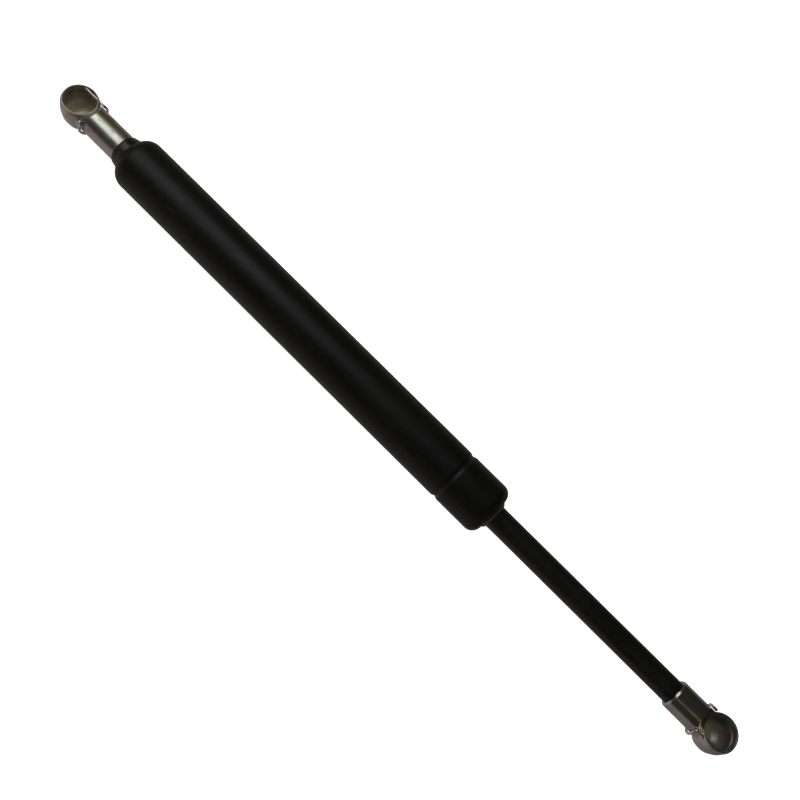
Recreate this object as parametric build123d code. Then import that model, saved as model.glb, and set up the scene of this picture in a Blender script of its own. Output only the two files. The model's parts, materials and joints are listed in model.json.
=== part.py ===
from build123d import *
import os
from math import cos, radians, sin, tan

# A gas strut stay, fully extended: a gas cylinder with a rod, and a ball socket on each end.
# Millimetres. +X runs along the strut from the tube end to the rod end, +Z points out of both
# sockets' mouths, and the origin is the centre of the ball that the tube-end socket takes.

# ---- driving dimensions -------------------------------------------------------------------
TUBE_R = 9.0                # 18 mm tube
WALL = 1.0
TUBE_LENGTH = 161.5
ROD_R = 4.0                 # 8 mm rod
EXPOSED_ROD = 76.4          # rod that shows at full extension
BALL_BORE_R = 5.05          # takes a 10 mm ball
TUBE_END_REACH = 20.3       # ball centre to the end of the socket's neck
ROD_END_REACH = 17.6
NOSE_LENGTH = 3.1           # end plug's nose, between the neck and the tube
RUNNING_GAP = 0.06          # radial clearance of a running fit
SNUG_GAP = 0.02             # clearance between pieces that are fixed together

# ---- along the strut ----------------------------------------------------------------------
TUBE_START = TUBE_END_REACH + NOSE_LENGTH
TUBE_END = TUBE_START + TUBE_LENGTH
ROD_SHOULDER = TUBE_END + EXPOSED_ROD
CENTRES = ROD_SHOULDER + ROD_END_REACH

# ---- tube ---------------------------------------------------------------------------------
BORE_R = TUBE_R - WALL
CLOSED_ROUND = 5.0          # corner of the formed, closed end
CLOSED_OVERHANG = 0.42      # how far that corner's arc would run on past the tube's edge
ROLLED_ROUND = 3.4          # corner of the rolled rod end
CLOSED_LIP_R = 6.0
ROLLED_LIP_R = 5.2
GROOVE_X = TUBE_END - 16.8  # rolled groove that locates the seal pack
GROOVE_DEPTH = 0.5
GROOVE_HALF = 1.1
GROOVE_SOFTENING = 0.4

# ---- threads: plain ridges of the pitch, one set in the bore matching one on the stud ------
THREAD_R = 3.0              # M6
THREAD_PITCH = 1.0
THREAD_DEPTH = 0.55
THREAD_COUNT = 8
THREAD_GAP = 0.06

# ---- ball socket --------------------------------------------------------------------------
HEAD_R = 6.2
HEAD_BOTTOM_Z = -7.0
HEAD_BOTTOM_R = 3.9
HEAD_BOTTOM_ROUND = 0.9
HEAD_BELLY = (-3.6, 5.6, 3.0)   # height, radius and rounding where the head's taper changes
HEAD_WIDEST_Z = -0.5
MOUTH_Z = 3.75
RIM_R = 5.8                 # outer radius of the mouth's rim, which stands above a valley
VALLEY_Z = 2.6
VALLEY_START_R = HEAD_R + 0.05
VALLEY_END_R = 7.5
VALLEY_ROUND = 1.2
HEAD_NECK_FILLET = 0.6
NECK_R = 4.95
TUBE_END_CHAMFER = (0.35, 0.35)     # length and depth at the end of each neck
ROD_END_CHAMFER = (0.6, 0.4)
SEAT_Z = -0.6               # the ball bore's wall starts here, above a round seat
BORE_TOP_Z = 1.0            # and ends here, below the wider mouth
MOUTH_BORE_R = 5.35
MOUTH_CHAMFER = 0.15
DRILL_POINT_R = 1.3
DRILL_POINT_DEPTH = 0.35

# ---- wire clip ----------------------------------------------------------------------------
WIRE_R = 0.45
LEG_Y = 4.75                # the leg crosses the mouth this far from its middle
LEG_Z = 2.85
LEG_HOLE_R = 0.55
LEG_HOLE_START = -3.35      # blind end, in the wall opposite the neck
LEG_HOLE_END = 5.4
LEG_TIP_X = -3.2
LEG_BEND = 0.9
BOW_X = 6.3                 # the bow passes behind the head, round the neck
BOW_CORNERS = [             # across, up and bend of the bow, from the leg to the hook
    (6.4, 0.1, 3.9),
    (3.3, -5.5, 5.4),
    (-3.1, -5.6, 5.4),
    (-6.4, -0.1, 3.6),
    (-4.85, 2.7, 0.6),
]
HOOK_TIP = (4.2, -5.25, 1.9)    # the free end lies against the head's side

# ---- end plug -----------------------------------------------------------------------------
NOSE_SMALL_R = 5.3
PLUG_R = BORE_R - SNUG_GAP
PLUG_END = TUBE_START + 12.0
PLUG_GROOVE = (TUBE_START + 7.0, TUBE_START + 9.4)
O_RING_R = 0.86             # section radius of both static seals
O_RING_GROOVE_DEPTH = 1.76

# ---- seal and guide pack, from the groove to the rolled edge --------------------------------
PACK_START = GROOVE_X + GROOVE_HALF
RETAINER_THICKNESS = 1.0
SEAL_LENGTH = 4.2
SUPPORT_THICKNESS = 0.8
PACK_END = TUBE_END - WALL
END_WASHER_THICKNESS = 1.4
RETAINER_SLOTS = 6
ROD_BORE_R = ROD_R + RUNNING_GAP
BUSH_R = 4.9
WIPER_R = 5.1
WIPER_PROUD = 0.9

# ---- piston, at rest just short of the extension stop ---------------------------------------
STOP_END = GROOVE_X - GROOVE_HALF
STOP_THICKNESS = 4.0
STOP_GAP = 0.3
PISTON_FRONT = STOP_END - STOP_THICKNESS - STOP_GAP
FRONT_WASHER_THICKNESS = 1.3
DISC_THICKNESS = 1.0
PISTON_THICKNESS = 6.0
BACK_WASHER_THICKNESS = 1.2
RIVET_THICKNESS = 1.6
RIVET_R = 3.9
SPIGOT_R = 2.75             # the rod's reduced inner end
PISTON_R = BORE_R - 0.35
RING_GROOVE_R = 6.1
RING_GROOVE_LENGTH = 2.6
RING_SIDE_GAP = 0.1
PISTON_PORTS = 4
PISTON_PORT_R = 0.7
PISTON_PORT_CIRCLE_R = 4.6


def turned(outline, upright=False):
    """A solid turned about X, or Z if upright: outline points are (along, radius, corner)."""
    points = [(along, radius) for along, radius, _ in outline]
    corners = [corner for *_, corner in outline]
    solid = revolve(make_face(FilletPolyline(*points, radius=corners, close=True)), Axis.X)
    return Rot(0, -90, 0) * solid if upright else solid


def ring(start, end, inner_r, outer_r, corner=0.15):
    """A turned ring along the strut with rounded corners."""
    return turned([
        (start, inner_r, corner),
        (start, outer_r, corner),
        (end, outer_r, corner),
        (end, inner_r, corner),
    ])


def rod_along_x(radius, start, end, y=0.0, z=0.0):
    """A plain cylinder that lies along the strut."""
    cylinder = Cylinder(radius, end - start, align=(Align.CENTER, Align.CENTER, Align.MIN))
    return Pos(start, y, z) * Rot(0, 90, 0) * cylinder


def thread_ridges(start, direction, crest_r, root_r):
    """Outline points of a run of thread ridges, from the shoulder out to the tip."""
    points = []
    for turn in range(THREAD_COUNT):
        base = start + direction * turn * THREAD_PITCH
        points.append((base + direction * 0.1 * THREAD_PITCH, root_r, 0))
        points.append((base + direction * 0.45 * THREAD_PITCH, crest_r, 0))
        points.append((base + direction * 0.65 * THREAD_PITCH, crest_r, 0))
        points.append((base + direction * THREAD_PITCH, root_r, 0))
    return points


def threaded_stud(shoulder_x, direction):
    """An M6 stud that leaves a shoulder in the given direction along the strut."""
    crest_r = THREAD_R - THREAD_GAP
    tip_x = shoulder_x + direction * (THREAD_COUNT + 0.3) * THREAD_PITCH
    outline = [(shoulder_x, 0, 0), (shoulder_x, crest_r - THREAD_DEPTH, 0)]
    outline += thread_ridges(shoulder_x, direction, crest_r, crest_r - THREAD_DEPTH)
    outline += [(tip_x, THREAD_R - 2 * THREAD_DEPTH, 0), (tip_x, 0, 0)]
    return turned(outline)


def tapped_hole(reach):
    """The threaded hole in a socket's neck, as the solid to take away."""
    drill_end_x = reach - (THREAD_COUNT + 1.2) * THREAD_PITCH
    outline = [(reach, 0, 0), (reach, THREAD_R - THREAD_DEPTH, 0)]
    outline += thread_ridges(reach, -1, THREAD_R, THREAD_R - THREAD_DEPTH)
    outline += [(drill_end_x, THREAD_R - THREAD_DEPTH, 0), (drill_end_x - 1.0, 0, 0)]
    return turned(outline)


def tube_filled(inset):
    """The gas cylinder filled solid, with its skin brought in by the inset."""
    closed_x = TUBE_START - CLOSED_OVERHANG + inset
    radius = TUBE_R - inset
    return turned([
        (closed_x, 0, 0),
        (closed_x, radius, CLOSED_ROUND - inset),
        (GROOVE_X - GROOVE_HALF, radius, GROOVE_SOFTENING),
        (GROOVE_X, radius - GROOVE_DEPTH, GROOVE_SOFTENING),
        (GROOVE_X + GROOVE_HALF, radius, GROOVE_SOFTENING),
        (TUBE_END - inset, radius, ROLLED_ROUND - inset),
        (TUBE_END - inset, 0, 0),
    ])


def cylinder_tube():
    """The gas cylinder: formed closed end, rolled groove, rolled rod end."""
    middle = (TUBE_START + TUBE_END) / 2
    closed_mouth = rod_along_x(CLOSED_LIP_R, TUBE_START - 1, middle)
    rolled_mouth = rod_along_x(ROLLED_LIP_R, middle, TUBE_END + 1)
    return tube_filled(0) - tube_filled(WALL) - closed_mouth - rolled_mouth


def end_plug():
    """The plug in the closed end: nose, shoulder, seal groove and the socket's stud."""
    groove_r = PLUG_R - O_RING_GROOVE_DEPTH
    nose_r = CLOSED_LIP_R - SNUG_GAP
    nose = turned([
        (TUBE_END_REACH, 0, 0),
        (TUBE_END_REACH, NOSE_SMALL_R, 0.5),
        (TUBE_START - 0.2, nose_r, 0.3),
        (PLUG_GROOVE[0], nose_r, 0),
        (PLUG_GROOVE[0], 0, 0),
    ])
    shoulder = turned([
        (TUBE_START, 0, 0),
        (TUBE_START, PLUG_R, 0),
        (PLUG_GROOVE[0], PLUG_R, 0.1),
        (PLUG_GROOVE[0], groove_r, 0.2),
        (PLUG_GROOVE[1], groove_r, 0.2),
        (PLUG_GROOVE[1], PLUG_R, 0.1),
        (PLUG_END, PLUG_R, 0.6),
        (PLUG_END, 0, 0),
    ])
    inside_tube = tube_filled(WALL + SNUG_GAP)
    return nose + (shoulder & inside_tube) + threaded_stud(TUBE_END_REACH, -1)


def o_ring(groove):
    """A static seal that fills the space between a groove's floor and the tube."""
    middle_x = sum(groove) / 2
    middle_r = BORE_R - O_RING_GROOVE_DEPTH / 2 - SNUG_GAP / 2
    return Pos(middle_x, 0, 0) * Rot(0, 90, 0) * Torus(middle_r, O_RING_R)


def socket_cavity():
    """The ball's space: round seat with a drill point, ball bore and wider mouth."""
    seat = Pos(0, 0, SEAT_Z) * Sphere(BALL_BORE_R)
    seat_bottom_z = SEAT_Z - BALL_BORE_R
    bore = turned([
        (SEAT_Z, 0, 0),
        (SEAT_Z, BALL_BORE_R, 0),
        (BORE_TOP_Z, BALL_BORE_R, 0),
        (BORE_TOP_Z + MOUTH_BORE_R - BALL_BORE_R, MOUTH_BORE_R, 0),
        (MOUTH_Z - MOUTH_CHAMFER, MOUTH_BORE_R, 0),
        (MOUTH_Z + MOUTH_CHAMFER, MOUTH_BORE_R + 2 * MOUTH_CHAMFER, 0),
        (MOUTH_Z + MOUTH_CHAMFER, 0, 0),
    ], upright=True)
    drill_point = turned([
        (seat_bottom_z - DRILL_POINT_DEPTH, 0, 0),
        (seat_bottom_z + DRILL_POINT_DEPTH, DRILL_POINT_R, 0),
        (seat_bottom_z + DRILL_POINT_DEPTH, 0, 0),
    ], upright=True)
    return bore + seat + drill_point


def ball_socket(reach, chamfer):
    """A ball socket at the origin with its neck along +X and its mouth up."""
    blank_top_z = NECK_R + 1
    chamfer_length, chamfer_depth = chamfer
    head = turned([
        (HEAD_BOTTOM_Z, 0, 0),
        (HEAD_BOTTOM_Z, HEAD_BOTTOM_R, HEAD_BOTTOM_ROUND),
        HEAD_BELLY,
        (HEAD_WIDEST_Z, HEAD_R, HEAD_BELLY[2]),
        (blank_top_z, HEAD_R, 0),
        (blank_top_z, 0, 0),
    ], upright=True)
    neck = turned([
        (0, 0, 0),
        (0, NECK_R, 0),
        (reach - chamfer_length, NECK_R, 0),
        (reach, NECK_R - chamfer_depth, 0),
        (reach, 0, 0),
    ])
    above_rim_and_valley = turned([
        (MOUTH_Z, 0, 0),
        (MOUTH_Z, RIM_R, 0),
        (VALLEY_Z, VALLEY_START_R, 0),
        (VALLEY_Z, VALLEY_END_R, VALLEY_ROUND),
        (blank_top_z + 1, VALLEY_END_R, 0),
        (blank_top_z + 1, 0, 0),
    ], upright=True)
    body = head + neck
    body = fillet(body.edges().filter_by(GeomType.BSPLINE), HEAD_NECK_FILLET)
    body -= above_rim_and_valley
    body -= socket_cavity()
    body -= rod_along_x(LEG_HOLE_R, LEG_HOLE_START, LEG_HOLE_END, LEG_Y, LEG_Z)
    return body - tapped_hole(reach)


def bent_path(corners):
    """A path of straight runs and round bends: corners are (point, bend radius)."""
    points = [point for point, _ in corners]
    edges = []
    run_start = points[0]
    for before, (corner, bend_r), after in zip(points, corners[1:], points[2:]):
        back = (before - corner).normalized()
        onward = (after - corner).normalized()
        inward = (back + onward).normalized()
        half_angle = radians(back.get_angle(onward) / 2)
        bend_start = corner + back * (bend_r / tan(half_angle))
        bend_end = corner + onward * (bend_r / tan(half_angle))
        bend_middle = corner + inward * (bend_r / sin(half_angle) - bend_r)
        edges.append(Edge.make_line(run_start, bend_start))
        edges.append(Edge.make_three_point_arc(bend_start, bend_middle, bend_end))
        run_start = bend_end
    edges.append(Edge.make_line(run_start, points[-1]))
    return Wire(edges)


def wire_clip():
    """The spring wire clip: a leg across the mouth, a bow round the neck and a hook."""
    leg_tip = Vector(LEG_TIP_X, LEG_Y, LEG_Z)
    corners = [(leg_tip, 0), (Vector(BOW_X, LEG_Y, LEG_Z), LEG_BEND)]
    corners += [(Vector(BOW_X, across, up), bend_r) for across, up, bend_r in BOW_CORNERS]
    corners.append((Vector(*HOOK_TIP), 0))
    section = Plane(leg_tip, z_dir=(1, 0, 0)) * Circle(WIRE_R)
    clip = sweep(section, path=bent_path(corners))
    ends = clip.faces().filter_by(GeomType.PLANE).sort_by(Axis.X)
    return fillet([*ends[0].edges(), *ends[-1].edges()], WIRE_R * 0.4)


def at_rod_end(piece):
    """Turns a tube-end piece round and moves it to the rod end."""
    return Pos(CENTRES, 0, 0) * Rot(0, 0, 180) * piece


def piston_rod():
    """The rod: threaded outer end, reduced inner end with a riveted head."""
    spigot_end = PISTON_FRONT
    rivet_end = (PISTON_FRONT - FRONT_WASHER_THICKNESS - DISC_THICKNESS
                 - PISTON_THICKNESS - BACK_WASHER_THICKNESS)
    body = turned([
        (rivet_end - RIVET_THICKNESS, 0, 0),
        (rivet_end - RIVET_THICKNESS, RIVET_R, 1.2),
        (rivet_end, RIVET_R, 0),
        (rivet_end, SPIGOT_R, 0),
        (spigot_end, SPIGOT_R, 0),
        (spigot_end, ROD_R, 0.2),
        (ROD_SHOULDER, ROD_R, 0.3),
        (ROD_SHOULDER, 0, 0),
    ])
    return body + threaded_stud(ROD_SHOULDER, 1)


def around_axis(count, radius, start_angle=0.0):
    """Places spread evenly round the strut's axis, at a radius."""
    step = 360 / count
    return [
        Pos(0, radius * cos(radians(start_angle + n * step)), radius * sin(radians(start_angle + n * step)))
        for n in range(count)
    ]


def piston_pieces():
    """The piston and what is riveted with it, from the rod's shoulder inwards."""
    washer_start = PISTON_FRONT - FRONT_WASHER_THICKNESS
    disc_start = washer_start - DISC_THICKNESS
    body_start = disc_start - PISTON_THICKNESS
    back_start = body_start - BACK_WASHER_THICKNESS
    groove_start = body_start + (PISTON_THICKNESS - RING_GROOVE_LENGTH) / 2
    groove_end = groove_start + RING_GROOVE_LENGTH
    body = turned([
        (body_start, SPIGOT_R, 0),
        (body_start, PISTON_R, 0.4),
        (groove_start, PISTON_R, 0.1),
        (groove_start, RING_GROOVE_R, 0.15),
        (groove_end, RING_GROOVE_R, 0.15),
        (groove_end, PISTON_R, 0.1),
        (disc_start, PISTON_R, 0.4),
        (disc_start, SPIGOT_R, 0),
    ])
    for place in around_axis(PISTON_PORTS, PISTON_PORT_CIRCLE_R):
        body -= place * rod_along_x(PISTON_PORT_R, body_start - 1, disc_start + 1)
    disc = ring(disc_start, washer_start, SPIGOT_R, PISTON_R - 1.0, 0.1)
    disc -= Pos(0, PISTON_R - 1.0, 0) * rod_along_x(2 * PISTON_PORT_R, disc_start - 1, washer_start + 1)
    return {
        "piston_front_washer": ring(washer_start, PISTON_FRONT, SPIGOT_R, PISTON_R - 0.6),
        "damping_disc": disc,
        "piston_body": body,
        "piston_ring": ring(
            groove_start + RING_SIDE_GAP, groove_end - RING_SIDE_GAP,
            RING_GROOVE_R + RUNNING_GAP, BORE_R - RUNNING_GAP, 0.4,
        ),
        "piston_back_washer": ring(back_start, body_start, SPIGOT_R, PISTON_R - 1.2),
    }


def seal_retainer(start, end):
    """The slotted washer that lets gas pressure reach the seal."""
    washer = ring(start, end, ROD_R + 0.6, PLUG_R, 0.1)
    for place in around_axis(RETAINER_SLOTS, 6.2):
        washer -= place * rod_along_x(0.8, start - 1, end + 1)
    return washer


def rod_seal(start, end):
    """The lip seal: a U-shaped ring open towards the gas."""
    return turned([
        (start, ROD_BORE_R, 0.1),
        (start, ROD_BORE_R + 0.9, 0.3),
        (start + 2.2, ROD_BORE_R + 1.5, 0.3),
        (start + 2.2, PLUG_R - 1.2, 0.3),
        (start, PLUG_R - 0.8, 0.3),
        (start, PLUG_R, 0.1),
        (end, PLUG_R, 0.2),
        (end, ROD_BORE_R, 0.2),
    ])


def guide_pieces(start, end):
    """Guide body with its static seal, its bush and the wiper in its outer recess."""
    groove = (start + 1.2, start + 3.6)
    groove_r = PLUG_R - O_RING_GROOVE_DEPTH
    recess_x = end - 2.2
    guide = turned([
        (start, BUSH_R, 0.1),
        (start, PLUG_R, 0.3),
        (groove[0], PLUG_R, 0.1),
        (groove[0], groove_r, 0.2),
        (groove[1], groove_r, 0.2),
        (groove[1], PLUG_R, 0.1),
        (end, PLUG_R, 1.0),
        (end, WIPER_R + 0.9, 0.1),
        (recess_x, WIPER_R + 0.9, 0.1),
        (recess_x, BUSH_R, 0),
    ])
    wiper = turned([
        (recess_x, ROD_BORE_R, 0.1),
        (recess_x, WIPER_R + 0.85, 0.1),
        (end, WIPER_R + 0.85, 0.1),
        (end, WIPER_R - 0.05, 0.05),
        (TUBE_END + WIPER_PROUD * 0.4, WIPER_R - 0.05, 0.15),
        (TUBE_END + WIPER_PROUD, ROD_BORE_R + 0.35, 0.1),
        (TUBE_END + WIPER_PROUD, ROD_BORE_R, 0),
    ])
    return {
        "rod_guide": guide,
        "guide_o_ring": o_ring(groove),
        "guide_bush": ring(start + 0.2, recess_x - 0.1, ROD_BORE_R, BUSH_R - SNUG_GAP / 2, 0.2),
        "rod_wiper": wiper,
    }


def end_washer(start, end):
    """The steel washer that the tube's edge is rolled over."""
    flat_r = BORE_R - ROLLED_ROUND + WALL
    return turned([
        (start, WIPER_R, 0.1),
        (start, PLUG_R - 0.3, 0.1),
        (end - SNUG_GAP, flat_r, 0.1),
        (end - SNUG_GAP, WIPER_R, 0.1),
    ])


def sealing_pack():
    """Everything between the tube's groove and its rolled edge."""
    seal_start = PACK_START + RETAINER_THICKNESS
    support_start = seal_start + SEAL_LENGTH
    guide_start = support_start + SUPPORT_THICKNESS
    washer_start = PACK_END - END_WASHER_THICKNESS
    pieces = {
        "seal_retainer_washer": seal_retainer(PACK_START, seal_start),
        "rod_seal": rod_seal(seal_start, support_start),
        "seal_support_washer": ring(support_start, guide_start, ROD_R + 0.3, PLUG_R, 0.1),
        "end_washer": end_washer(washer_start, PACK_END),
    }
    pieces.update(guide_pieces(guide_start, washer_start))
    return pieces


def all_pieces():
    """Every node's name and solid."""
    clip = wire_clip()
    pieces = {
        "cylinder_tube": cylinder_tube(),
        "end_plug": end_plug(),
        "plug_o_ring": o_ring(PLUG_GROOVE),
        "tube_end_socket": ball_socket(TUBE_END_REACH, TUBE_END_CHAMFER),
        "tube_end_clip": clip,
        "extension_stop_ring": ring(STOP_END - STOP_THICKNESS, STOP_END, ROD_R + 0.4, PLUG_R - 0.2, 0.6),
        "piston_rod": piston_rod(),
        "rod_end_socket": at_rod_end(ball_socket(ROD_END_REACH, ROD_END_CHAMFER)),
        "rod_end_clip": at_rod_end(clip),
    }
    pieces.update(piston_pieces())
    pieces.update(sealing_pack())
    return pieces


os.makedirs("parts", exist_ok=True)
for node, shape in all_pieces().items():
    export_step(shape, f"parts/{node}.step")
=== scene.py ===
"""The looks of a gas strut stay: a finish for every piece, a pale floor, soft light and a camera.

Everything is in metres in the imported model's frame. The strut lies along X, its two ball sockets open upward,
and it rests on the floor. No piece is added or moved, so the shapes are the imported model's own.
"""
import json
import math

import bpy
from mathutils import Matrix, Vector


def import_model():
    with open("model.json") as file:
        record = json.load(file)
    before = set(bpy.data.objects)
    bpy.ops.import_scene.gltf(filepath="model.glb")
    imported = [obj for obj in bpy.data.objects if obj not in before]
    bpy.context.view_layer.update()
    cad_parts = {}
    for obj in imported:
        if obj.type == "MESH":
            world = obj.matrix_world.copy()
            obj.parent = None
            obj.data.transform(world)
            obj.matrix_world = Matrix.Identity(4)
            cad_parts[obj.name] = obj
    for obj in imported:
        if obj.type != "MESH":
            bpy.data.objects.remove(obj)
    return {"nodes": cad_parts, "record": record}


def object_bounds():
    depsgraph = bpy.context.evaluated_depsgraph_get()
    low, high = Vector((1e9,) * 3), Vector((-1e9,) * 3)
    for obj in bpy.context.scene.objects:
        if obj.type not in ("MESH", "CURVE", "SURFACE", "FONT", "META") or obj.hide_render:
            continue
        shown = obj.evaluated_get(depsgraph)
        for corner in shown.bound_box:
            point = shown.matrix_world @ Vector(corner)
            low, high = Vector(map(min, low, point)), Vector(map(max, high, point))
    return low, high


MM = 0.001

# Ball sockets.
SEAT_DROP = 0.6 * MM        # the bowl's round seat starts this far below the ball's centre
BOWL_RADIUS = 5.45 * MM
BOWL_EDGE = 0.05 * MM
HEAD_RADIUS = 6.2 * MM      # beyond it, the tool marks turn from the head's to the neck's
MARKS_BLEND = 0.6 * MM
# Painted reflection: how far the neck's colour bands are turned, so that gold and cream sit under the key
# light's highlight.
REFLECTION_BAND_TURNS = {"tube_end": 0.045, "rod_end": -0.084}     # in whole turns round the neck
PLATING_ROUGHNESS = {"tube_end": 0.33, "rod_end": 0.22}
# Painted shade: the share of the bowl's colour that is kept, which darkens the rod end's bowl, where less light
# reaches it.
BOWL_PAINTED_SHADES = {"tube_end": 1.0, "rod_end": 0.55}        # how much of its colour the bowl keeps
BOWL_DULLING = 0.16
BOWL_METALLIC = 0.85

# Camera: where it looks from, how far it is rolled, and its lens.
CAMERA_AZIMUTH = math.radians(8.69)
CAMERA_ELEVATION = math.radians(62.75)
CAMERA_ROLL = math.radians(36.86)
CAMERA_DISTANCE = 334.0 * MM
CAMERA_LENS = 47.8
CAMERA_NEAR = 10.0 * MM
AIM_BESIDE_AXIS = 5.7 * MM

# Light: a soft box above the tube's end and a narrow strip above the rod's end, which the metal mirrors,
# and a wide fill that it doesn't.
KEY_PLACE = Vector((-0.27, -0.02, 0.52))
KEY_SIZE = (0.45, 0.55)
KEY_WATTS = 0.95
STRIP_PLACE = Vector((0.46, -0.35, 0.52))
STRIP_SIZE = (0.30, 0.02)
STRIP_WATTS = 0.012
FILL_HEIGHT = 1.2
FILL_SIZE = 1.4
FILL_WATTS = 6.5

# Room: the pale floor runs up into a round wall.
FLOOR_RADIUS = 1.5
COVE_RADIUS = 0.6
WALL_HEIGHT = 1.6
COVE_STEPS = 12
FLOOR_SIDES = 96
FLOOR_COLOUR = (0.82, 0.815, 0.805, 1.0)
FLOOR_GLOW = 0.80           # the floor is a light table, which keeps the strut's shadow faint
ROOM_TONES = [              # from straight down to straight up
    (0.00, (0.30, 0.265, 0.26)),
    (0.44, (0.27, 0.24, 0.235)),
    (0.53, (0.035, 0.033, 0.032)),
    (1.00, (0.05, 0.05, 0.05)),
]
ROOM_BRIGHT_SIDE = 1.2      # how strong the room is towards the tube's end
ROOM_DIM_SIDE = 0.5


def set_stops(node, stops):
    """Fills a colour ramp. stops are (position, colour) pairs."""
    elements = node.color_ramp.elements
    while len(elements) < len(stops):
        elements.new(0.5)
    for element, (position, colour) in zip(elements, stops):
        element.position = position
        element.color = (*colour, 1.0)


class Finish:
    """One procedural material, with short calls for adding nodes to it."""

    def __init__(self, name, **constants):
        self.material = bpy.data.materials.new(name)
        self.material.use_nodes = True
        self.tree = self.material.node_tree
        self.surface = self.tree.nodes["Principled BSDF"]
        for socket, value in constants.items():
            self.surface.inputs[socket.replace("_", " ")].default_value = value

    def add(self, kind, inputs=(), **settings):
        """A new node. inputs are (socket, value or output) pairs."""
        node = self.tree.nodes.new(kind)
        for setting, value in settings.items():
            setattr(node, setting, value)
        for socket, value in inputs:
            self.join(node.inputs[socket], value)
        return node

    def join(self, socket, value):
        """Gives a socket another node's output, or else a plain value."""
        if isinstance(value, bpy.types.NodeSocket):
            self.tree.links.new(value, socket)
        else:
            socket.default_value = value

    def place(self):
        """Where a point is on the piece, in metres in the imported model's frame."""
        return self.add("ShaderNodeTexCoord").outputs["Object"]

    def split(self, vector):
        """The x, y and z of a vector."""
        return self.add("ShaderNodeSeparateXYZ", [(0, vector)]).outputs

    def vector(self, x, y, z):
        return self.add("ShaderNodeCombineXYZ", [(0, x), (1, y), (2, z)]).outputs[0]

    def stretched(self, vector, scale):
        """A place with each direction scaled on its own, for grain that runs one way."""
        return self.add("ShaderNodeMapping", [("Vector", vector), ("Scale", scale)]).outputs[0]

    def math(self, operation, a, b=0.0):
        return self.add("ShaderNodeMath", [(0, a), (1, b)], operation=operation).outputs[0]

    def noise(self, vector, scale, detail=2.0, roughness=0.5):
        """Soft noise around 0.5, with scale features in each metre."""
        inputs = [("Vector", vector), ("Scale", scale), ("Detail", detail), ("Roughness", roughness)]
        return self.add("ShaderNodeTexNoise", inputs).outputs[0]

    def specks(self, vector, scale, size):
        """1 in small dots on an even scatter, and 0 between them. size is a share of their spacing."""
        cells = self.add("ShaderNodeTexVoronoi", [("Vector", vector), ("Scale", scale)])
        return self.levels(cells.outputs["Distance"], size, 0.6 * size, 0.0, 1.0)

    def levels(self, value, low, high, to_low, to_high):
        """value moved from the range low..high to the range to_low..to_high, and kept in it."""
        inputs = [(0, value), (1, low), (2, high), (3, to_low), (4, to_high)]
        return self.add("ShaderNodeMapRange", inputs).outputs[0]

    def ramp(self, value, stops):
        """The colour for a value from 0 to 1. stops are (position, colour) pairs."""
        node = self.add("ShaderNodeValToRGB", [(0, value)])
        set_stops(node, stops)
        return node.outputs[0]

    def blend(self, factor, a, b, mode="MIX"):
        """Colour a, turning into colour b as factor goes from 0 to 1."""
        node = self.add("ShaderNodeMix", data_type="RGBA", blend_type=mode)
        for socket, value in ((0, factor), (6, a), (7, b)):
            is_colour = isinstance(value, tuple)
            self.join(node.inputs[socket], (*value, 1.0) if is_colour else value)
        return node.outputs[2]

    def relief(self, height, depth):
        """Raises the surface by depth, in metres, where height is 1, on top of any relief already there."""
        bump = self.add("ShaderNodeBump", [("Height", height), ("Distance", depth), ("Strength", 1.0)])
        normal = self.surface.inputs["Normal"]
        if normal.links:
            self.tree.links.new(normal.links[0].from_socket, bump.inputs["Normal"])
        self.tree.links.new(bump.outputs[0], normal)

    def colour(self, value):
        self.join(self.surface.inputs["Base Color"], value)

    def roughness(self, value):
        self.join(self.surface.inputs["Roughness"], value)


def black_paint():
    """Satin black enamel: soft orange peel, a fine grain, faint scuffs along the tube and a little dust."""
    paint = Finish("black_paint", IOR=1.5, Specular_IOR_Level=0.35)
    place = paint.place()
    clouds = paint.noise(place, 60.0, 3.0)
    peel = paint.noise(place, 1100.0, 2.0)
    grain = paint.noise(place, 5200.0, 2.0)
    streaks = paint.noise(paint.stretched(place, (70.0, 2300.0, 2300.0)), 1.0)
    scuffs = paint.levels(streaks, 0.66, 0.74, 0.0, 1.0)
    dust = paint.specks(place, 480.0, 0.10)

    coat = paint.blend(clouds, (0.0012, 0.0011, 0.0010), (0.0022, 0.0020, 0.0018))
    coat = paint.blend(paint.math("MULTIPLY", scuffs, 0.35), coat, (0.020, 0.019, 0.018))
    paint.colour(paint.blend(paint.math("MULTIPLY", dust, 0.30), coat, (0.05, 0.048, 0.045)))

    rough = paint.levels(clouds, 0.3, 0.7, 0.40, 0.47)
    rough = paint.math("ADD", rough, paint.levels(grain, 0.3, 0.7, -0.03, 0.03))
    paint.roughness(paint.math("SUBTRACT", rough, paint.math("MULTIPLY", scuffs, 0.08)))
    paint.relief(peel, 6.0e-6)
    paint.relief(grain, 1.5e-6)
    paint.relief(scuffs, -2.0e-6)
    return paint.material


def black_rod():
    """Black nitrided rod: polished lengthwise, with fine grinding rings and a thin film of oil in patches."""
    rod = Finish("black_rod", IOR=1.6, Specular_IOR_Level=0.35)
    place = rod.place()
    film = rod.noise(rod.stretched(place, (60.0, 190.0, 190.0)), 1.0, 3.0)
    rings = rod.noise(rod.stretched(place, (4200.0, 60.0, 60.0)), 1.0, 2.0)
    polish = rod.noise(rod.stretched(place, (90.0, 3000.0, 3000.0)), 1.0, 2.0)

    rod.colour(rod.blend(film, (0.0016, 0.0015, 0.0015), (0.0040, 0.0036, 0.0032)))
    rough = rod.levels(film, 0.35, 0.65, 0.27, 0.36)
    rod.roughness(rod.math("ADD", rough, rod.levels(polish, 0.3, 0.7, -0.03, 0.03)))
    rod.relief(rings, 0.8e-6)
    rod.relief(polish, 0.8e-6)
    return rod.material


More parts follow.
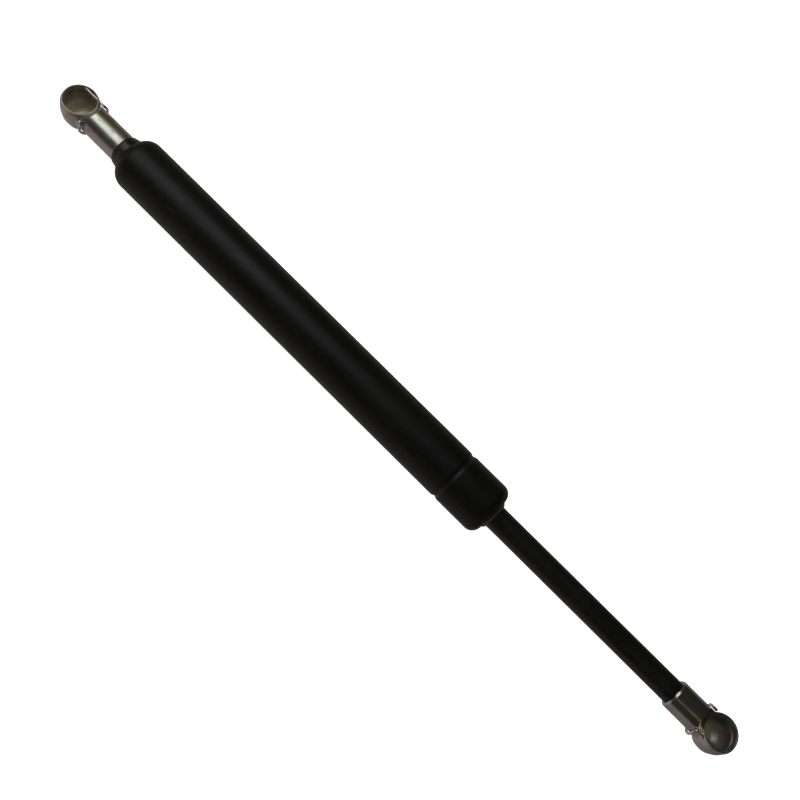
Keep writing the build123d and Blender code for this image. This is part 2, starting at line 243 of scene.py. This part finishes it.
def passivation_and_painted_reflection(zinc, place, turned_by):
    """The passivation film's colour, drifting round the neck through gold, cream and pink, with painted
    reflection: gold and cream on top where the key light's highlight falls, pink on the lower -Y side where the
    floor's reflection falls. The noise patches are the film's own iridescent tone.
    """
    x, y, z = zinc.split(place)
    turn = zinc.math("ARCTAN2", zinc.math("MULTIPLY", y, -1.0), z)
    drift = zinc.levels(zinc.noise(place, 230.0, 3.0), 0.2, 0.8, -0.5, 0.5)
    around = zinc.levels(zinc.math("ADD", turn, drift), -math.pi, math.pi, 0.0, 1.0)
    # Painted reflection bands, set by the turn round the neck from straight up towards -Y.
    painted_reflection_band = zinc.ramp(zinc.math("ADD", around, turned_by), [
        (0.00, (0.56, 0.52, 0.50)),
        (0.30, (0.50, 0.50, 0.45)),
        (0.45, (0.60, 0.53, 0.38)),
        (0.51, (0.72, 0.62, 0.40)),
        (0.55, (0.70, 0.69, 0.55)),
        (0.59, (0.62, 0.67, 0.58)),
        (0.66, (0.60, 0.55, 0.53)),
        (0.85, (0.60, 0.53, 0.52)),
    ])
    patches = zinc.ramp(zinc.noise(place, 420.0, 2.0), [
        (0.36, (0.92, 0.80, 0.92)),
        (0.46, (1.00, 1.00, 1.00)),
        (0.56, (0.86, 1.00, 0.86)),
        (0.66, (1.00, 0.92, 0.70)),
    ])
    return zinc.blend(0.7, painted_reflection_band, patches, "MULTIPLY")


def bowl_painted_light(zinc, x, y, radius, painted_shade):
    """The bowl's colour as painted light and shade: from dark olive across to lit pink and cream towards +X and
    -Y, darkened up its wall as painted shade, and darkened as a whole as painted shade by the per-end factor.
    """
    # Painted light: lighter towards +X and -Y, the bowl's lit side.
    across = zinc.levels(zinc.math("SUBTRACT", x, y), -7.0 * MM, 7.0 * MM, 0.0, 1.0)
    colour_and_painted_light = zinc.ramp(across, [
        (0.10, (0.40, 0.35, 0.28)),
        (0.40, (0.90, 0.86, 0.58)),
        (0.60, (1.00, 0.78, 0.82)),
        (0.80, (1.00, 0.97, 0.82)),
    ])
    # Painted shade: darker up the bowl's wall, and darker as a whole for the less lit end.
    wall = zinc.levels(radius, 4.3 * MM, 5.2 * MM, painted_shade, 0.35 * painted_shade)
    return zinc.blend(1.0, colour_and_painted_light, zinc.vector(wall, wall, wall), "MULTIPLY")


def zinc_plate(name, centre, turned_by, roughness, bowl_painted_shade):
    """Turned steel with iridescent zinc plating. Tool marks ring Z on the head and X on the neck. Its colour
    also carries painted reflection round the neck and painted light and shade in the bowl.
    """
    zinc = Finish(name, Anisotropic=0.25)
    place = zinc.place()
    from_centre = zinc.add("ShaderNodeVectorMath", [(0, place), (1, centre)], operation="SUBTRACT").outputs[0]
    x, y, z = zinc.split(from_centre)
    radius = zinc.math("SQRT", zinc.math("ADD", zinc.math("MULTIPLY", x, x), zinc.math("MULTIPLY", y, y)))
    depth = zinc.math("MINIMUM", zinc.math("ADD", z, SEAT_DROP), 0.0)
    squares = zinc.math("ADD", zinc.math("POWER", radius, 2.0), zinc.math("POWER", depth, 2.0))
    in_bowl = zinc.levels(zinc.math("SQRT", squares), BOWL_RADIUS, BOWL_RADIUS + BOWL_EDGE, 1.0, 0.0)
    on_neck = zinc.levels(zinc.math("ABSOLUTE", x), HEAD_RADIUS, HEAD_RADIUS + MARKS_BLEND, 0.0, 1.0)
    head_marks = zinc.noise(zinc.vector(radius, 0.0, zinc.math("MULTIPLY", z, 0.5)), 3200.0, 2.0)
    neck_marks = zinc.noise(zinc.stretched(place, (3000.0, 80.0, 80.0)), 1.0, 2.0, 0.6)
    marks = zinc.add("ShaderNodeMix", [(0, on_neck), (2, head_marks), (3, neck_marks)]).outputs[0]
    frost = zinc.noise(place, 2600.0, 3.0)
    stains = zinc.noise(place, 300.0, 4.0)
    handling = zinc.levels(zinc.noise(place, 900.0, 4.0), 0.62, 0.72, 0.0, 1.0)

    # The neck's colour carries painted reflection bands.
    colour_and_painted_light = passivation_and_painted_reflection(zinc, from_centre, turned_by)
    # Painted light and shade in the bowl.
    colour_and_painted_light = zinc.blend(in_bowl, colour_and_painted_light, bowl_painted_light(zinc, x, y, radius, bowl_painted_shade))
    colour_and_painted_light = zinc.blend(zinc.levels(stains, 0.45, 0.70, 0.0, 0.35), colour_and_painted_light, (0.36, 0.34, 0.30))
    zinc.colour(zinc.blend(zinc.math("MULTIPLY", handling, 0.5), colour_and_painted_light, (0.30, 0.29, 0.27)))
    zinc.join(zinc.surface.inputs["Metallic"], zinc.levels(in_bowl, 0.0, 1.0, 1.0, BOWL_METALLIC))
    worn = zinc.math("ADD", zinc.levels(stains, 0.3, 0.7, roughness - 0.05, roughness + 0.05),
                     zinc.levels(marks, 0.3, 0.7, -0.03, 0.03))
    worn = zinc.math("ADD", worn, zinc.math("MULTIPLY", handling, 0.10))
    zinc.roughness(zinc.math("ADD", worn, zinc.math("MULTIPLY", in_bowl, BOWL_DULLING)))
    zinc.relief(marks, 5.0e-6)
    cuts = zinc.noise(zinc.vector(radius, 0.0, 0.0), 1200.0, 1.0)
    zinc.relief(zinc.math("MULTIPLY", cuts, in_bowl), 120.0e-6)
    zinc.relief(frost, 1.2e-6)
    return zinc.material


def drawn_wire():
    """Spring steel wire: long die marks along it, and a few dull spots."""
    wire = Finish("spring_wire", Metallic=1.0)
    place = wire.place()
    lines = wire.noise(wire.stretched(place, (260.0, 5200.0, 5200.0)), 1.0, 2.0)
    spots = wire.noise(place, 1300.0, 3.0)
    wire.colour(wire.blend(wire.levels(spots, 0.4, 0.7, 0.0, 1.0), (0.86, 0.84, 0.79), (0.56, 0.52, 0.47)))
    wire.roughness(wire.levels(spots, 0.3, 0.7, 0.20, 0.32))
    wire.relief(lines, 1.5e-6)
    return wire.material


def blackened_steel():
    """Turned steel with a black finish that thins to brown in places."""
    steel = Finish("blackened_steel", Metallic=0.6, IOR=1.6)
    place = steel.place()
    rings = steel.noise(steel.stretched(place, (3400.0, 70.0, 70.0)), 1.0, 2.0)
    thin = steel.noise(place, 520.0, 4.0)
    worn = steel.levels(thin, 0.4, 0.75, 0.0, 1.0)
    steel.colour(steel.blend(worn, (0.012, 0.011, 0.011), (0.045, 0.036, 0.028)))
    steel.roughness(steel.levels(thin, 0.3, 0.7, 0.20, 0.30))
    steel.relief(rings, 3.0e-6)
    return steel.material


def turned_steel():
    """Bright turned washers: fine rings round the strut's axis, under a thin film of oil."""
    steel = Finish("bright_steel", Metallic=1.0, Anisotropic=0.4)
    place = steel.place()
    x, y, z = steel.split(place)
    radius = steel.math("SQRT", steel.math("ADD", steel.math("MULTIPLY", y, y), steel.math("MULTIPLY", z, z)))
    rings = steel.noise(steel.vector(x, radius, 0.0), 5200.0, 2.0)
    oil = steel.noise(place, 420.0, 3.0)
    steel.colour(steel.blend(oil, (0.50, 0.49, 0.47), (0.66, 0.65, 0.62)))
    steel.roughness(steel.levels(oil, 0.3, 0.7, 0.18, 0.32))
    steel.relief(rings, 3.0e-6)
    return steel.material


def cast_zinc():
    """The piston's die-cast zinc: a pebbled grey skin with darker flow marks."""
    cast = Finish("zinc_casting", Metallic=1.0)
    place = cast.place()
    pebbles = cast.noise(place, 2600.0, 3.0)
    flow = cast.noise(cast.stretched(place, (160.0, 420.0, 420.0)), 1.0, 4.0)
    cast.colour(cast.blend(flow, (0.26, 0.26, 0.27), (0.44, 0.44, 0.45)))
    cast.roughness(cast.levels(pebbles, 0.3, 0.7, 0.42, 0.58))
    cast.relief(pebbles, 12.0e-6)
    return cast.material


def sintered_bronze():
    """The guide bush: oil-soaked sintered bronze with open pores."""
    bronze = Finish("bush_bronze", Metallic=1.0)
    place = bronze.place()
    pores = bronze.specks(place, 3600.0, 0.22)
    age = bronze.noise(place, 380.0, 3.0)
    metal = bronze.blend(age, (0.42, 0.25, 0.11), (0.60, 0.39, 0.18))
    bronze.colour(bronze.blend(bronze.math("MULTIPLY", pores, 0.8), metal, (0.09, 0.06, 0.035)))
    bronze.roughness(bronze.levels(age, 0.3, 0.7, 0.30, 0.44))
    bronze.relief(pores, -20.0e-6)
    return bronze.material


def moulded(name, dark, light, roughness, scale, depth):
    """Moulded rubber or plastic: a fine skin in relief, with cloudy colour and an uneven gloss."""
    skin = Finish(name, IOR=1.5)
    place = skin.place()
    texture = skin.noise(place, scale, 3.0)
    clouds = skin.noise(place, 260.0, 3.0)
    skin.colour(skin.blend(clouds, dark, light))
    uneven = skin.math("ADD", texture, clouds)
    skin.roughness(skin.levels(uneven, 0.7, 1.3, roughness - 0.06, roughness + 0.06))
    skin.relief(texture, depth)
    return skin.material


def dress(nodes, finish, names):
    """Gives the named pieces their finish."""
    for name in names:
        for slot in nodes[name].material_slots:
            slot.material = finish


def dress_strut(nodes, mounts):
    """A finish for each piece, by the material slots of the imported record."""
    dress(nodes, black_paint(), ["cylinder_tube"])
    dress(nodes, black_rod(), ["piston_rod"])
    for end in ("tube_end", "rod_end"):
        centre = mounts[f"{end}_ball_socket"]
        look = (REFLECTION_BAND_TURNS[end], PLATING_ROUGHNESS[end], BOWL_PAINTED_SHADES[end])
        plate = zinc_plate(f"{end}_zinc_plate", centre, *look)
        dress(nodes, plate, [f"{end}_socket"])
    dress(nodes, drawn_wire(), ["tube_end_clip", "rod_end_clip"])
    dress(nodes, blackened_steel(), ["end_plug", "end_washer"])
    washers = ["piston_front_washer", "piston_back_washer", "damping_disc"]
    dress(nodes, turned_steel(), washers + ["seal_retainer_washer", "seal_support_washer"])
    dress(nodes, cast_zinc(), ["piston_body"])
    dress(nodes, sintered_bronze(), ["guide_bush"])
    rubber = moulded("seal_rubber", (0.010, 0.010, 0.010), (0.018, 0.017, 0.016), 0.46, 2400.0, 3.0e-6)
    dress(nodes, rubber, ["plug_o_ring", "piston_ring", "rod_seal", "guide_o_ring", "rod_wiper"])
    plastic = moulded("guide_plastic", (0.020, 0.020, 0.021), (0.032, 0.031, 0.030), 0.40, 1600.0, 5.0e-6)
    dress(nodes, plastic, ["rod_guide"])
    nylon = moulded("stop_nylon", (0.62, 0.60, 0.53), (0.72, 0.70, 0.64), 0.38, 1400.0, 4.0e-6)
    dress(nodes, nylon, ["extension_stop_ring"])


def cove_profile(height):
    """(radius, z) along the floor from its middle, round the cove and up the wall."""
    corner = (FLOOR_RADIUS, height + COVE_RADIUS)
    profile = [(0.0, height)]
    for step in range(COVE_STEPS + 1):
        turn = 0.5 * math.pi * step / COVE_STEPS
        profile.append((corner[0] + COVE_RADIUS * math.sin(turn), corner[1] - COVE_RADIUS * math.cos(turn)))
    profile.append((FLOOR_RADIUS + COVE_RADIUS, height + WALL_HEIGHT))
    return profile


def add_floor(height, middle):
    """A plain pale floor at the strut's lowest point. The strut mirrors the dim room and not this floor."""
    profile = cove_profile(height)
    vertices = [(middle.x, middle.y, height)]
    for radius, z in profile[1:]:
        for side in range(FLOOR_SIDES):
            turn = 2 * math.pi * side / FLOOR_SIDES
            vertices.append((middle.x + radius * math.cos(turn), middle.y + radius * math.sin(turn), z))
    faces = [(0, 1 + side, 1 + (side + 1) % FLOOR_SIDES) for side in range(FLOOR_SIDES)]
    for ring in range(len(profile) - 2):
        first = 1 + ring * FLOOR_SIDES
        for side in range(FLOOR_SIDES):
            after = (side + 1) % FLOOR_SIDES
            inner, inner_next = first + side, first + after
            faces.append((inner, inner + FLOOR_SIDES, inner_next + FLOOR_SIDES, inner_next))
    mesh = bpy.data.meshes.new("studio_floor")
    mesh.from_pydata(vertices, [], faces)
    mesh.shade_smooth()
    floor = bpy.data.objects.new("studio_floor", mesh)
    bpy.context.scene.collection.objects.link(floor)
    pale = Finish("pale_floor", Base_Color=FLOOR_COLOUR, Roughness=0.9, Specular_IOR_Level=0.0,
                  Emission_Color=FLOOR_COLOUR, Emission_Strength=FLOOR_GLOW / FLOOR_COLOUR[0])
    mesh.materials.append(pale.material)
    floor.visible_glossy = False


def add_area_light(name, place, target, size, watts):
    """A soft rectangular light at place that faces target."""
    light = bpy.data.lights.new(name, "AREA")
    light.shape = "RECTANGLE"
    light.size, light.size_y = size
    light.energy = watts
    lamp = bpy.data.objects.new(name, light)
    lamp.location = place
    lamp.rotation_mode = "QUATERNION"
    lamp.rotation_quaternion = (target - place).to_track_quat("-Z", "Y")
    bpy.context.scene.collection.objects.link(lamp)
    return lamp


def add_room():
    """The room that the metal mirrors: dim above, a dull floor below, and lighter towards the tube's end."""
    world = bpy.data.worlds.new("dim_room")
    world.use_nodes = True
    bpy.context.scene.world = world
    nodes, links = world.node_tree.nodes, world.node_tree.links

    direction = nodes.new("ShaderNodeTexCoord")
    axes = nodes.new("ShaderNodeSeparateXYZ")
    links.new(direction.outputs["Generated"], axes.inputs[0])
    height = nodes.new("ShaderNodeMapRange")
    links.new(axes.outputs["Z"], height.inputs[0])
    for socket, value in ((1, -1.0), (2, 1.0), (3, 0.0), (4, 1.0)):
        height.inputs[socket].default_value = value
    tones = nodes.new("ShaderNodeValToRGB")
    links.new(height.outputs[0], tones.inputs[0])
    set_stops(tones, ROOM_TONES)

    sideways = nodes.new("ShaderNodeMapRange")
    links.new(axes.outputs["X"], sideways.inputs[0])
    for socket, value in ((1, -0.5), (2, 0.5), (3, ROOM_BRIGHT_SIDE), (4, ROOM_DIM_SIDE)):
        sideways.inputs[socket].default_value = value
    background = nodes["Background"]
    links.new(tones.outputs[0], background.inputs["Color"])
    links.new(sideways.outputs[0], background.inputs["Strength"])


def add_camera(aim):
    """A camera rolled so that the strut runs from the upper left to the lower right."""
    back = Vector((
        math.sin(CAMERA_AZIMUTH) * math.cos(CAMERA_ELEVATION),
        -math.cos(CAMERA_AZIMUTH) * math.cos(CAMERA_ELEVATION),
        math.sin(CAMERA_ELEVATION),
    ))
    level_right = Vector((math.cos(CAMERA_AZIMUTH), math.sin(CAMERA_AZIMUTH), 0.0))
    level_up = back.cross(level_right)
    right = math.cos(CAMERA_ROLL) * level_right + math.sin(CAMERA_ROLL) * level_up
    up = back.cross(right)
    data = bpy.data.cameras.new("camera")
    data.lens = CAMERA_LENS
    data.clip_start = CAMERA_NEAR
    camera = bpy.data.objects.new("camera", data)
    axes = Matrix((right, up, back)).transposed()
    camera.matrix_world = Matrix.Translation(aim + CAMERA_DISTANCE * back) @ axes.to_4x4()
    bpy.context.scene.collection.objects.link(camera)
    bpy.context.scene.camera = camera


def main():
    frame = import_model()
    cad_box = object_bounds()
    mounts = {mount["name"]: Vector(mount["pos_m"]) for mount in frame["record"]["mounts"]}
    middle = (mounts["tube_end_ball_socket"] + mounts["rod_end_ball_socket"]) / 2

    dress_strut(frame["nodes"], mounts)
    add_floor(cad_box[0].z, middle)
    add_area_light("key_light", KEY_PLACE, mounts["tube_end_ball_socket"], KEY_SIZE, KEY_WATTS)
    add_area_light("strip_light", STRIP_PLACE, mounts["rod_end_ball_socket"], STRIP_SIZE, STRIP_WATTS)
    fill_place = middle + Vector((0.0, 0.0, FILL_HEIGHT))
    fill = add_area_light("fill_light", fill_place, middle, (FILL_SIZE, FILL_SIZE), FILL_WATTS)
    fill.visible_glossy = False
    add_room()
    add_camera(middle + Vector((0.0, AIM_BESIDE_AXIS, 0.0)))
    bpy.context.scene.view_settings.view_transform = "Standard"


main()
